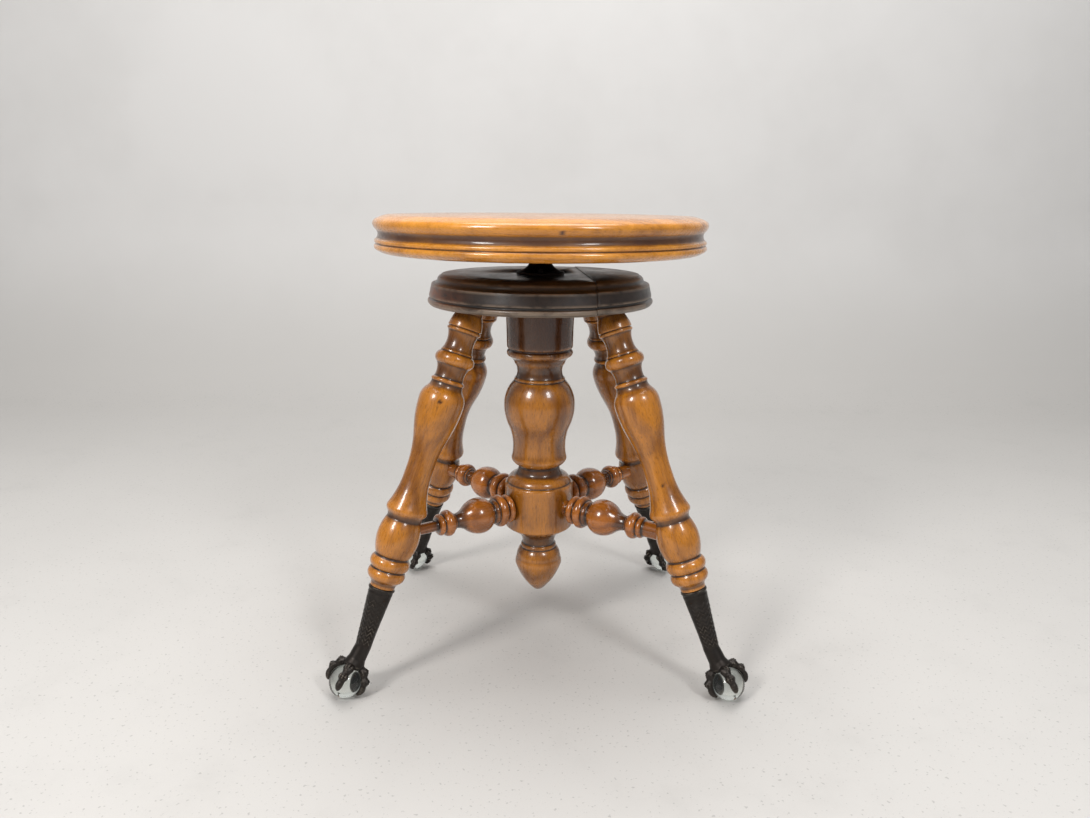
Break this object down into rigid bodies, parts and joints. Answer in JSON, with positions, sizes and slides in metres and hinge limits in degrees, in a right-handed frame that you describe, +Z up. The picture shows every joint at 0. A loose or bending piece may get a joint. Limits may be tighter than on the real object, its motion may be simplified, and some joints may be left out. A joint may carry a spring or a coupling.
{
  "type": "revolving piano stool",
  "caption": "Round wooden revolving stool on an iron screw, with a turned centre post, splayed turned legs, stretchers, and iron claws holding glass balls.",
  "frame": {"origin": "on the floor, under the centre of the post and the seat", "axes": "+Z up along the screw; -Y is the front, and X is to its right"},
  "size_m": [0.4456, 0.3723, 0.492],
  "materials": {
    "clear_glass": "polished clear glass",
    "dark_iron": "dark brown-black, worn on the high spots",
    "worn_steel": "dull, tarnished",
    "leather": "dark, compressed",
    "honey_wood": "golden, glossy varnish",
    "dark_wood": "near-black stain, worn to red-brown",
    "amber_wood": "amber varnish, darker in the hollows",
    "pale_wood": "bare"
  },
  "bodies": {
    "frame": {"claw_back_left": "dark_iron", "claw_back_right": "dark_iron", "claw_front_left": "dark_iron", "claw_front_right": "dark_iron", "claw_pins": "worn_steel", "disc_dowels": "pale_wood", "disc_main_board": "dark_wood", "disc_side_board": "dark_wood", "glass_ball_back_left": "clear_glass", "glass_ball_back_right": "clear_glass", "glass_ball_front_left": "clear_glass", "glass_ball_front_right": "clear_glass", "leg_back_left": "amber_wood", "leg_back_right": "amber_wood", "leg_front_left": "amber_wood", "leg_front_right": "amber_wood", "nut_screws": "worn_steel", "post": "amber_wood", "screw_nut": "dark_iron", "stretcher_back_left": "amber_wood", "stretcher_back_right": "amber_wood", "stretcher_front_left": "amber_wood", "stretcher_front_right": "amber_wood", "stretcher_nails": "worn_steel"},
    "washer": {"thrust_washer": "leather"},
    "seat": {"seat": "honey_wood", "seat_plate": "dark_iron", "seat_screws": "worn_steel", "screw_rod": "worn_steel", "screw_pin": "worn_steel"}
  },
  "joints": [
    {"name": "seat_turn", "type": "hinge", "parent": "frame", "child": "washer", "pos_m": [0, 0, 0.441], "axis": [0, 0, 1], "range_deg": [-120, 7200]},
    {"name": "seat_lift", "type": "slide", "parent": "washer", "child": "seat", "axis": [0, 0, 1], "range_m": [-0.002, 0.12]}
  ],
  "couplings": [
    {"joint": "seat_lift", "follows": "seat_turn", "m_per_rad": 0.00095493}
  ]
}
